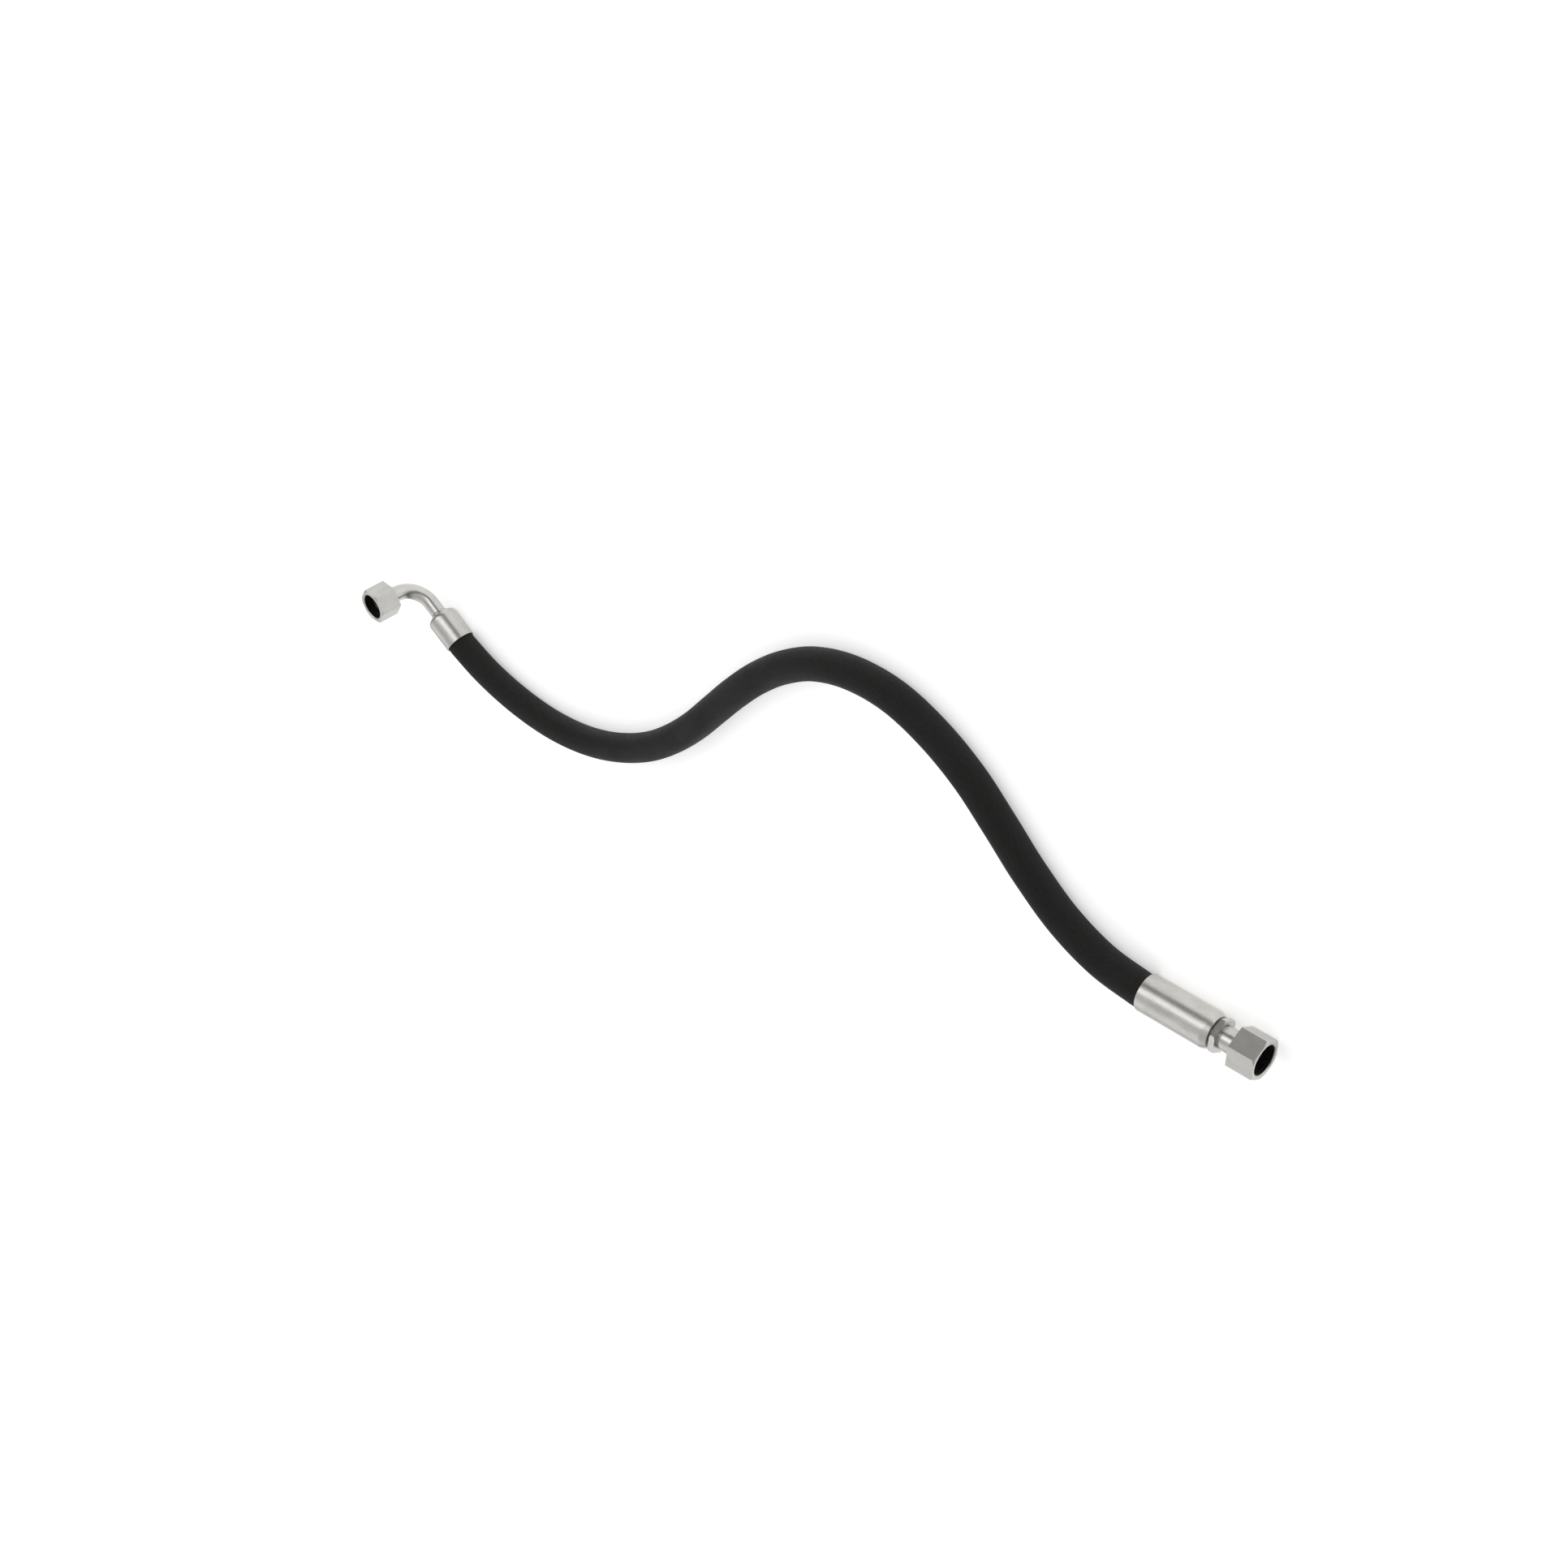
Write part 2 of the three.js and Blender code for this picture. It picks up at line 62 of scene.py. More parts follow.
# Shares of one pitch: the flat crest or root, and the straight flank between them.
THREAD_FORM = {"flat": 0.2, "flank": 0.7}
EDGE_STEP = 0.05
CORNER_SPREAD = 1.4
CHAMFER_SLOPE = math.tan(30 * DEGREE)
SEAT = {"recess": 5, "tip": 5.1, "cone": 7, "groove_back": 5.2, "groove_width": 2, "groove": 4.6,
        "bore": 3.4, "slope": math.tan(12 * DEGREE)}
RING_SECTION = 0.78
RING_LIFT = 0.7
WIRE = {"back": 15.2, "section": 0.55, "centre": 7.65, "gap_start": 6, "turn": 348}
NECK_RADIUS = 7.5
COLLAR = {"flats": 20, "front": 27.3, "rear": 31, "face": 10.6, "waist": 6.7, "waist_width": 1}
STRAIGHT_FERRULE = {"front": 32.3, "rear": 81.3, "chamfer": 4, "drop": 1.6, "lip": 6.1}
ELBOW_FERRULE = {"front": 31.5, "rear": 58, "shoulder": 4.4, "lip": 7.3}
FERRULE = {"outer": 12, "wall": 3, "rear_lip": 4, "pitch": 8, "tooth": 2.6, "tip": 9.18, "pocket": 0.6,
           "cover": 11.1}
TAIL = {"radius": 4.45, "barb": 0.4, "pitch": 9, "width": 3, "setback": 3.5}
STRAIGHT_TAIL = {"stem": 5.8, "ledge": 6.8, "ledge_front": 35.6, "start": 37.2}
# Distances of the elbow's tail insert are measured from the front of its ferrule.
ELBOW_TAIL = {"start": 8, "ledge": 7.6, "ledge_front": 3.3, "throat": 7.0, "throat_front": 0.3,
              "nose": 7.4, "nose_front": 1.2, "socket_depth": 6.3}
CONE_HEAD = {"shoulder": 8.6, "shoulder_back": 14, "rear": 15.6, "rear_radius": 7.0, "socket_depth": 0.6}
FILLET = {"gap": 0.02, "foot": 7.2, "waist": 0.45, "waist_height": 0.4, "feather": 0.08, "height": 1.05}
COVER_BORE = 9.05
LAYERS = {"bore": 4.75, "tube": 1.45, "wire": 0.3, "skin": 0.2, "gap": 0.12, "plies": 4}

# The hose's centre line between the two ferrules, in metres.
ROUTE = [
    (-0.3080, -0.0855), (-0.2760, -0.0955), (-0.2430, -0.0995), (-0.2100, -0.0975),
    (-0.1775, -0.0900), (-0.1465, -0.0775), (-0.1175, -0.0610), (-0.0915, -0.0410),
    (-0.0670, -0.0180), (-0.0445, 0.0065), (-0.0220, 0.0310), (0.0020, 0.0545),
    (0.0280, 0.0750), (0.0570, 0.0910), (0.0890, 0.0990), (0.1225, 0.0975),
    (0.1535, 0.0855), (0.1810, 0.0670), (0.2045, 0.0435), (0.2275, 0.0190),
    (0.2530, -0.0020), (0.2830, -0.0155),
]

# ---- places, read from the frame ----------------------------------------------------------------


def middle(node):
    low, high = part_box(node)
    return (Vector(low) + Vector(high)) / 2


straight_nut_box = [Vector(corner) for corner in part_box("straight_swivel_nut")]
elbow_nut_box = [Vector(corner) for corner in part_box("elbow_swivel_nut")]
straight_mouth = middle("straight_ferrule")
straight_mouth.x = straight_nut_box[1].x
elbow_mouth = middle("elbow_swivel_nut")
elbow_mouth.z = elbow_nut_box[1].z
elbow_corner = Vector((elbow_mouth.x, elbow_mouth.y, middle("elbow_ferrule").z))
elbow_along = Vector((math.cos(ELBOW_HEADING), math.sin(ELBOW_HEADING), 0))


def axes(origin, x_axis, z_axis):
    y_axis = z_axis.cross(x_axis)
    turn = Matrix((x_axis, y_axis, z_axis)).transposed().to_4x4()
    return Matrix.Translation(origin) @ turn @ Matrix.Scale(MM, 4)


# Local millimetres to the frame: the mouth of each nut at z = 0, the hose side below it.
STRAIGHT = axes(straight_mouth, Vector((0, -math.sin(STRAIGHT_TURN), math.cos(STRAIGHT_TURN))),
                Vector((1, 0, 0)))
ELBOW_TOP = axes(elbow_mouth, Vector((math.cos(ELBOW_TURN), math.sin(ELBOW_TURN), 0)), Vector((0, 0, 1)))
ELBOW_SIDE = axes(elbow_corner, Vector((0, 0, 1)), -elbow_along)


def on_straight_axis(back):
    return straight_mouth - Vector((back * MM, 0, 0))


def on_elbow_axis(back):
    return elbow_corner + elbow_along * back * MM


# ---- camera -------------------------------------------------------------------------------------


def make_camera():
    data = bpy.data.cameras.new("camera")
    data.lens = 48.45
    data.sensor_width = 36
    data.clip_end = 60
    camera = bpy.data.objects.new("camera", data)
    bpy.context.scene.collection.objects.link(camera)
    place = Vector((0.8238, 0.8460, 0.7306))
    target = Vector((0.0188, -0.0238, 0.0108))
    picture_up = Vector((-0.4086, 0.7759, -0.4806))
    back = (place - target).normalized()
    right = picture_up.cross(back).normalized()
    up = back.cross(right)
    camera.matrix_world = Matrix.Translation(place) @ Matrix((right, up, back)).transposed().to_4x4()
    bpy.context.scene.camera = camera


make_camera()

# ---- mesh making --------------------------------------------------------------------------------


def build(name, vertices, faces, local, placing=None, sharp=40):
    """A smooth-shaded mesh with its own drawing coordinates, in millimetres, kept for the materials."""
    mesh = bpy.data.meshes.new(name)
    mesh.from_pydata([tuple(v) for v in vertices], [], faces)
    attribute = mesh.attributes.new("local", "FLOAT_VECTOR", "POINT")
    attribute.data.foreach_set("vector", [c for v in local for c in v])
    if placing is not None:
        mesh.transform(placing)
    mesh.polygons.foreach_set("use_smooth", [True] * len(mesh.polygons))
    mesh.set_sharp_from_angle(angle=sharp * DEGREE)
    mesh.update()
    piece = bpy.data.objects.new(name, mesh)
    bpy.context.scene.collection.objects.link(piece)
    weighted = piece.modifiers.new("weighted", "WEIGHTED_NORMAL")
    weighted.keep_sharp = True
    return piece


def rounded(points, steps=3):
    """Rounds the corners of a closed outline of (radius, z, corner size) points."""
    result = []
    count = len(points)
    for i, (r, z, size) in enumerate(points):
        here = Vector((r, z))
        before = Vector(points[i - 1][:2]) - here
        after = Vector(points[(i + 1) % count][:2]) - here
        if size == 0:
            result.append(here)
            continue
        start = here + before.normalized() * min(size, 0.45 * before.length)
        end = here + after.normalized() * min(size, 0.45 * after.length)
        for k in range(steps + 1):
            t = k / steps
            result.append(start * (1 - t) ** 2 + here * 2 * t * (1 - t) + end * t ** 2)
    return result


def turned(name, outline_at, angles, placing, sharp=40):
    """A closed ring whose outline may change with the angle round its local Z axis."""
    vertices = []
    for angle in angles:
        for r, z in outline_at(angle):
            vertices.append((r * math.cos(angle), r * math.sin(angle), z))
    around = len(angles)
    along = len(vertices) // around
    faces = []
    for a in range(around):
        b = (a + 1) % around
        for i in range(along):
            j = (i + 1) % along
            faces.append((a * along + i, b * along + i, b * along + j, a * along + j))
    return build(name, vertices, faces, vertices, placing, sharp)


def even_angles(count):
    return [2 * math.pi * i / count for i in range(count)]


def hexagon_angles():
    """Angles round a hexagon, denser beside the corners, where the edge is rounded."""
    sector = [0, 0.4, 0.8, 1.4] + [2.5 * i for i in range(1, 24)] + [58.6, 59.2, 59.6]
    return [(60 * side + step) * DEGREE for side in range(6) for step in sector]


def hexagon_radius(flats, angle):
    """Distance to a hexagon's side, with a corner at angle 0 rounded off a little."""
    from_corner = abs((angle / DEGREE + 30) % 60 - 30)
    plain = flats / 2 / math.cos((30 - from_corner) * DEGREE)
    if from_corner >= CORNER_SPREAD:
        return plain
    edge = flats / 2 / math.cos(28.6 * DEGREE)
    corner = flats / math.sqrt(3) - EDGE_STEP
    return edge + (corner - edge) * (1 - (from_corner / CORNER_SPREAD) ** 2)


def shade_inside(piece, first, second, inside):
    """Gives the faces whose drawing coordinates lie inside the second material, a painted shade for the hollows
    inside the nuts.
    """
    piece.data.materials.append(first)
    piece.data.materials.append(second)
    local = piece.data.attributes["local"].data
    for face in piece.data.polygons:
        corners = [local[v].vector for v in face.vertices]
        reach = max(math.hypot(c.x, c.y) for c in corners)
        depth = sum(c.z for c in corners) / len(corners)
        if inside(reach, depth):
            face.material_index = 1


def outline(points, steps=3):
    fixed = rounded(points, steps)
    return lambda angle: fixed


def swept(name, path, frames, outer, inner, sides, sharp=40):
    """A tube with a bore along a path; frames gives the two directions across it at each point."""
    vertices = []
    local = []
    run = 0.0
    for i, point in enumerate(path):
        run += (point - path[i - 1]).length if i else 0.0
        across, over = frames[i]
        for radius in (outer, inner):
            for k in range(sides):
                angle = 2 * math.pi * k / sides
                c, s = math.cos(angle), math.sin(angle)
                vertices.append(point + (across * c + over * s) * radius * MM)
                local.append((c * radius, s * radius, run / MM))
    ring = 2 * sides
    faces = []
    for i in range(len(path) - 1):
        for k in range(sides):
            n = (k + 1) % sides
            a, b = i * ring, (i + 1) * ring
            faces.append((a + k, a + n, b + n, b + k))
            faces.append((a + sides + n, a + sides + k, b + sides + k, b + sides + n))
    last = (len(path) - 1) * ring
    for k in range(sides):
        n = (k + 1) % sides
        faces.append((n, k, sides + k, sides + n))
        faces.append((last + k, last + n, last + sides + n, last + sides + k))
    return build(name, vertices, faces, local, None, sharp)


# ---- materials ----------------------------------------------------------------------------------


class Shader:
    """A material whose nodes are added by short calls."""

    def __init__(self, name):
        self.material = bpy.data.materials.new(name)
        self.material.use_nodes = True
        self.tree = self.material.node_tree
        self.surface = self.tree.nodes["Principled BSDF"]
        self.local = self.add("ShaderNodeAttribute")
        self.local.attribute_name = "local"

    def add(self, kind, **inputs):
        node = self.tree.nodes.new(kind)
        for name, value in inputs.items():
            node.inputs[name.replace("_", " ")].default_value = value
        return node

    def link(self, output, target):
        self.tree.links.new(output, target)

    def scaled(self, x, y, z):
        mapping = self.add("ShaderNodeMapping", Scale=(x, y, z))
        self.link(self.local.outputs["Vector"], mapping.inputs["Vector"])
        return mapping.outputs["Vector"]

    def noise(self, vector, scale, detail=3, rough=0.55):
        node = self.add("ShaderNodeTexNoise", Scale=scale, Detail=detail, Roughness=rough)
        self.link(vector, node.inputs["Vector"])
        return node.outputs["Fac"]

    def spread(self, value, low, high, from_low=0.3, from_high=0.7):
        node = self.add("ShaderNodeMapRange", From_Min=from_low, From_Max=from_high, To_Min=low, To_Max=high)
        self.link(value, node.inputs["Value"])
        return node.outputs["Result"]

    def tone(self, value, dark, light):
        node = self.tree.nodes.new("ShaderNodeMix")
        node.data_type = "RGBA"
        node.inputs["A"].default_value = (*dark, 1)
        node.inputs["B"].default_value = (*light, 1)
        self.link(value, node.inputs["Factor"])
        return node.outputs["Result"]

    def combine(self, a, b, operation="ADD"):
        node = self.tree.nodes.new("ShaderNodeMath")
        node.operation = operation
        self.link(a, node.inputs[0])
        if isinstance(b, (int, float)):
            node.inputs[1].default_value = b
        else:
            self.link(b, node.inputs[1])
        return node.outputs["Value"]

    def bump(self, height, strength, distance):
        node = self.add("ShaderNodeBump", Strength=strength, Distance=distance)
        self.link(height, node.inputs["Height"])
        self.link(node.outputs["Normal"], self.surface.inputs["Normal"])

    def finish(self, colour, roughness, metallic):
        self.link(colour, self.surface.inputs["Base Color"])
        self.link(roughness, self.surface.inputs["Roughness"])
        self.surface.inputs["Metallic"].default_value = metallic
        return self.material


def plated_steel(name, dark, light, smooth, rough, streak, strength):
    """Satin plate over drawn steel: streaks along the axis, finer grain between them, faint clouds."""
    shader = Shader(name)
    streaks = shader.noise(shader.scaled(1.8, 1.8, 1.8 * streak), 1.0, 4, 0.6)
    grain = shader.noise(shader.scaled(7, 7, 7 * streak), 1.0, 3, 0.6)
    clouds = shader.noise(shader.scaled(1, 1, 0.6), 0.15, 3)
    tone = shader.combine(shader.combine(streaks, grain), clouds)
    colour = shader.tone(shader.spread(tone, 0, 1, 1.25, 1.75), dark, light)
    roughness = shader.spread(grain, smooth, rough)
    shader.bump(shader.combine(streaks, shader.combine(grain, 0.4, "MULTIPLY")), strength, 0.00008)
    return shader.finish(colour, roughness, 1.0)


def turned_steel(name, dark, light, smooth, rough):
    """Plated lathe-turned steel, with the tool's fine rings round the axis."""
    shader = Shader(name)
    rings = shader.noise(shader.scaled(0.15, 0.15, 7), 1.0, 4, 0.6)
    clouds = shader.noise(shader.scaled(1, 1, 1), 0.3, 3)
    colour = shader.tone(shader.spread(clouds, 0, 1), dark, light)
    roughness = shader.spread(rings, smooth, rough)
    shader.bump(rings, 0.08, 0.00005)
    return shader.finish(colour, roughness, 1.0)


def cover_rubber():
    """Black synthetic rubber cured under a wound cloth tape, which leaves a fine weave and faint bands."""
    shader = Shader("cover_rubber")
    fine = shader.noise(shader.scaled(1, 1, 1), 4.0, 4, 0.6)
    broad = shader.noise(shader.scaled(1, 1, 0.35), 0.08, 3)
    cross = shader.noise(shader.scaled(0.5, 0.5, 3.2), 1.0, 2)
    lengthwise = shader.noise(shader.scaled(3.0, 3.0, 0.2), 1.0, 2)
    weave = shader.spread(shader.combine(cross, lengthwise, "MULTIPLY"), 0, 1, 0.15, 0.4)
    height = shader.combine(shader.combine(fine, 0.35, "MULTIPLY"), weave)
    tone = shader.combine(shader.combine(weave, broad), 0.5, "MULTIPLY")
    dark, light = (0.004, 0.004, 0.0037), (0.0115, 0.0113, 0.0103)
    colour = shader.tone(shader.spread(tone, 0, 1, 0.25, 0.75), dark, light)
    roughness = shader.spread(shader.combine(fine, broad), 0.55, 0.75, 0.75, 1.25)
    shader.bump(height, 0.5, 0.00025)
    shader.surface.inputs["Specular IOR Level"].default_value = 0.25
    return shader.finish(colour, roughness, 0.0)


def plain_rubber(name, dark, light, rough):
    shader = Shader(name)
    fine = shader.noise(shader.scaled(1, 1, 1), 1.4, 3)
    colour = shader.tone(shader.spread(fine, 0, 1), dark, light)
    shader.bump(fine, 0.2, 0.00005)
    return shader.finish(colour, shader.spread(fine, rough - 0.08, rough + 0.08), 0.0)


def wound_wire():
    """Brass-coated wires lying side by side in a steep helix."""
    shader = Shader("spiral_wire")
    wires = shader.add("ShaderNodeTexWave", Scale=1.2, Distortion=0.3)
    shader.link(shader.scaled(0.7, 0.7, 1), wires.inputs["Vector"])
    height = wires.outputs["Fac"]
    colour = shader.tone(height, (0.32, 0.23, 0.1), (0.62, 0.5, 0.28))
    shader.bump(height, 0.6, 0.0002)
    return shader.finish(colour, shader.spread(height, 0.28, 0.42, 0, 1), 1.0)


FERRULE_PLATE = plated_steel("plated_ferrule", (0.50, 0.49, 0.465), (0.61, 0.60, 0.57), 0.27, 0.39,
                             0.08, 0.22)
TUBE_PLATE = plated_steel("plated_tube", (0.52, 0.51, 0.49), (0.61, 0.60, 0.57), 0.24, 0.34, 0.03, 0.1)
FITTING_PLATE = turned_steel("plated_fitting", (0.50, 0.49, 0.47), (0.61, 0.60, 0.57), 0.24, 0.34)
NUT_PLATE = plated_steel("plated_nut", (0.48, 0.47, 0.45), (0.56, 0.555, 0.53), 0.3, 0.42, 0.6, 0.18)
# Painted shade: near-black steel for the thread and bore inside each nut's mouth, standing in for the shade
# down the bore of plated steel.
THREAD_PAINTED_SHADE = turned_steel("thread_painted_shade", (0.010, 0.010, 0.0095), (0.035, 0.034, 0.032), 0.5, 0.65)
# Painted shade: dark steel for the cone and nipple front inside the nut, standing in for the shade there on
# plated steel.
SEAT_PAINTED_SHADE = turned_steel("seat_painted_shade", (0.03, 0.03, 0.029), (0.06, 0.058, 0.055), 0.4, 0.55)
SPRING_WIRE = turned_steel("spring_wire", (0.36, 0.36, 0.35), (0.5, 0.5, 0.48), 0.3, 0.42)
BRAZE = turned_steel("braze_alloy", (0.46, 0.44, 0.39), (0.6, 0.58, 0.52), 0.3, 0.45)
COVER = cover_rubber()
TUBE_RUBBER = plain_rubber("tube_rubber", (0.012, 0.012, 0.012), (0.02, 0.02, 0.02), 0.5)
SKIN_RUBBER = plain_rubber("skin_rubber", (0.02, 0.018, 0.016), (0.035, 0.032, 0.028), 0.75)
SEAL_RUBBER = plain_rubber("seal_rubber", (0.008, 0.008, 0.008), (0.014, 0.014, 0.014), 0.4)
SPIRAL_WIRE = wound_wire()


def settle(piece, material, slot, body, *nodes):
    """Gives a piece its material and its body, and hides the part that it stands for; the slot is not used."""
    if not piece.data.materials:
        piece.data.materials.append(material)
    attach(piece, body)
    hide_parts(*nodes)
    return piece


# ---- the hose -----------------------------------------------------------------------------------


def catmull_rom(points, per_span):
    """The centripetal curve through the points, as the part draws it."""
    ends = [points[0] * 2 - points[1], *points, points[-1] * 2 - points[-2]]
    result = []
    for i in range(len(points) - 1):
        p0, p1, p2, p3 = ends[i:i + 4]
        d0 = (p1 - p0).length ** 0.5
        d1 = (p2 - p1).length ** 0.5
        d2 = (p3 - p2).length ** 0.5
        m1 = ((p1 - p0) / d0 - (p2 - p0) / (d0 + d1) + (p2 - p1) / d1) * d1
        m2 = ((p2 - p1) / d1 - (p3 - p1) / (d1 + d2) + (p3 - p2) / d2) * d1
        for k in range(per_span):
            t = k / per_span
            result.append(p1 * (2 * t ** 3 - 3 * t ** 2 + 1) + m1 * (t ** 3 - 2 * t ** 2 + t)
                          + p2 * (3 * t ** 2 - 2 * t ** 3) + m2 * (t ** 3 - t ** 2))
    result.append(points[-1])
    return result


def fade(distance):
    t = min(max(distance / (SETTLE_LENGTH * MM), 0), 1)
    return 1 - t * t * (3 - 2 * t)


def hose_path(elbow_start, straight_end, per_span):
    """From inside the elbow's ferrule to inside the straight one, lying flat in between."""
    lying = COVER_RADIUS * MM
    start = on_elbow_axis(ELBOW_FERRULE["rear"] + STRAIGHT_RUN)
    end = on_straight_axis(STRAIGHT_FERRULE["rear"] + STRAIGHT_RUN)
    flat = [Vector((start.x, start.y, lying))]
    flat += [Vector((x, y, lying)) for x, y in ROUTE]
    flat.append(Vector((end.x, end.y, lying)))
    curve = catmull_rom(flat, per_span)
    runs = [0.0]
    for a, b in zip(curve, curve[1:]):
        runs.append(runs[-1] + (b - a).length)
    for point, run in zip(curve, runs):
        point.z += (start.z - lying) * fade(run) + (end.z - lying) * fade(runs[-1] - run)
    return [on_elbow_axis(elbow_start), *curve, on_straight_axis(straight_end)]


def level_frames(path):
    """Across and up at each point of a path that never stands upright."""
    frames = []
    for i in range(len(path)):
        forward = (path[min(i + 1, len(path) - 1)] - path[max(i - 1, 0)]).normalized()
        across = Vector((0, 0, 1)).cross(forward).normalized()
        frames.append((across, forward.cross(across)))
    return frames


COVER_INSET = FERRULE["rear_lip"] - GAP
LAYER_START = ELBOW_FERRULE["front"] + ELBOW_TAIL["start"] + GAP
LAYER_END = STRAIGHT_TAIL["start"] + GAP
cover_path = hose_path(ELBOW_FERRULE["rear"] - COVER_INSET, STRAIGHT_FERRULE["rear"] - COVER_INSET, 20)
layer_path = hose_path(LAYER_START, LAYER_END, 8)
cover = swept("hose_cover_rubber", cover_path, level_frames(cover_path), COVER_RADIUS, COVER_BORE, 64)
settle(cover, COVER, "cover_rubber", "hose", "hose_cover")


def hose_layers():
    """The inner tube, and the wire spirals with a rubber skin between each two."""
    frames = level_frames(layer_path)
    inner = LAYERS["bore"]
    layers = [("hose_inner_tube", LAYERS["tube"], TUBE_RUBBER, "tube_rubber")]
    for ply in range(1, LAYERS["plies"] + 1):
        layers.append((f"hose_wire_spiral_{ply}", LAYERS["wire"], SPIRAL_WIRE, "spiral_wire"))
        if ply < LAYERS["plies"]:
            layers.append((f"hose_rubber_skin_{ply}", LAYERS["skin"], SKIN_RUBBER, "skin_rubber"))
    for node, wall, material, slot in layers:
        piece = swept(f"{node}_round", layer_path, frames, inner + wall, inner, 24)
        settle(piece, material, slot, "hose", node)
        inner += wall + LAYERS["gap"]


hose_layers()

# ---- nuts ---------------------------------------------------------------------------------------


def thread_radius(z, angle):
    """The nut's inner thread: flat crests and roots with straight flanks, one pitch further on each turn."""
    phase = (z / NUT["pitch"] + angle / (2 * math.pi)) % 1
    height = min(max((abs(2 * phase - 1) - THREAD_FORM["flat"]) / THREAD_FORM["flank"], 0), 1)
    run_in = min(max((-z - NUT["lead_in"]) / NUT["pitch"], 0), 1)
    thread = NUT["minor"] + (NUT["major"] - NUT["minor"]) * height * run_in
    lead = NUT["minor"] + NUT["lead_in"] + EDGE_STEP + z
    return max(thread, lead)


def nut_outline(angle, inside):
    """One section of a nut: its thread, what lies behind it, then the flats and both chamfers."""
    side = hexagon_radius(NUT["flats"], angle)
    front = min(side - EDGE_STEP, NUT["front"])
    rows = 96
    threads = []
    for i in range(rows + 1):
        z = -NUT["depth"] * i / rows
        threads.append(Vector((thread_radius(z, angle), z)))
    rear = min(side - EDGE_STEP, NUT["rear"])
    shell = [
        *inside,
        (rear, -NUT["length"], 0.08),
        (side, -NUT["length"] + (side - rear) * CHAMFER_SLOPE, 0.1),
        (side, -(side - front) * CHAMFER_SLOPE, 0.1),
        (front, 0, 0.08),
        (NUT["minor"] + NUT["lead_in"] + EDGE_STEP, 0, 0.0),
    ]
    body = rounded([(NUT["minor"], -NUT["depth"], 0.0), *shell])
    return [*threads[1:-1], *body]


def nut(name, placing, inside):
    piece = turned(name, lambda angle: nut_outline(angle, inside), hexagon_angles(), placing, 22)
    mouth = NUT["minor"] + NUT["lead_in"]
    # The thread and the bore behind it get the painted shade instead of the nut's plate.
    shade_inside(piece, NUT_PLATE, THREAD_PAINTED_SHADE,
                 lambda reach, depth: reach < mouth + 0.2 and depth < -0.55 * NUT["lead_in"])
    return piece


def straight_nut_inside():
    back, half = WIRE["back"], WIRE["section"] + GAP
    bore = NECK_RADIUS + GAP
    relief_end = -NUT["depth"] - NUT["relief_width"]
    return [
        (NUT["relief"], -NUT["depth"] - 0.1, 0.1),
        (NUT["relief"], relief_end, 0.1),
        (NUT["minor"], relief_end - 0.1, 0.1),
        (bore, relief_end - (NUT["minor"] - bore), 0.1),
        (bore, -back + half, 0.05),
        (WIRE["centre"] + half, -back + half, 0.1),
        (WIRE["centre"] + half, -back - half, 0.1),
        (bore, -back - half, 0.05),
        (bore, -NUT["length"] + 0.4, 0.05),
        (bore + 0.4, -NUT["length"], 0.08),
    ]


def elbow_nut_inside():
    bore = TUBE_RADIUS + GAP + 0.1
    slope = CONE_HEAD["shoulder"] + CONE_HEAD["shoulder_back"] + GAP * math.sqrt(2)
    relief_end = -NUT["depth"] - NUT["relief_width"]
    return [
        (NUT["relief"], -NUT["depth"] - 0.1, 0.1),
        (NUT["relief"], relief_end, 0.1),
        (NUT["minor"], relief_end - 0.1, 0.1),
        (NUT["minor"], NUT["minor"] - slope, 0.1),
        (bore, bore - slope, 0.1),
        (bore, -NUT["length"] + 0.3, 0.05),
        (bore + 0.3, -NUT["length"], 0.08),
    ]


straight_nut = nut("straight_nut_threaded", STRAIGHT, straight_nut_inside())
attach(straight_nut, "straight_nut")
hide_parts("straight_swivel_nut")
elbow_nut = nut("elbow_nut_threaded", ELBOW_TOP, elbow_nut_inside())
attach(elbow_nut, "elbow_nut")
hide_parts("elbow_swivel_nut")

# ---- cones, rings and seals ---------------------------------------------------------------------


def cone_at(back):
    return SEAT["tip"] + (back - SEAT["recess"]) * SEAT["slope"]


CONE_END = SEAT["recess"] + SEAT["cone"]
# How far back from the cone's tip the cone and nipple get the painted shade.
SEAT_SHADE = CONE_END + 3


def cone_outline():
    """Back along the cone through its groove, over the tip and into the bore."""
    front = SEAT["recess"] + SEAT["groove_back"] - SEAT["groove_width"]
    rear = SEAT["recess"] + SEAT["groove_back"]
    return [
        (cone_at(CONE_END), -CONE_END, 0.1),
        (cone_at(rear), -rear, 0.12),
        (SEAT["groove"], -rear, 0.15),
        (SEAT["groove"], -front, 0.15),
        (cone_at(front), -front, 0.12),
        (SEAT["tip"], -SEAT["recess"], 0.3),
        (SEAT["bore"] + 0.6, -SEAT["recess"], 0.1),
        (SEAT["bore"], -SEAT["recess"] - 1, 0.1),
    ]


def round_ring(name, centre, section, back, placing, rounds=20):
    profile = []
    for k in range(rounds):
        angle = 2 * math.pi * k / rounds
        profile.append(Vector((centre + section * math.cos(angle), -back + section * math.sin(angle))))
    return turned(name, lambda angle: profile, even_angles(96), placing)


def o_ring(name, node, placing):
    back = SEAT["recess"] + SEAT["groove_back"] - SEAT["groove_width"] / 2
    centre = SEAT["groove"] + GAP + RING_LIFT
    piece = round_ring(name, centre, RING_SECTION, back, placing)
    settle(piece, SEAL_RUBBER, "seal_rubber", "hose", node)


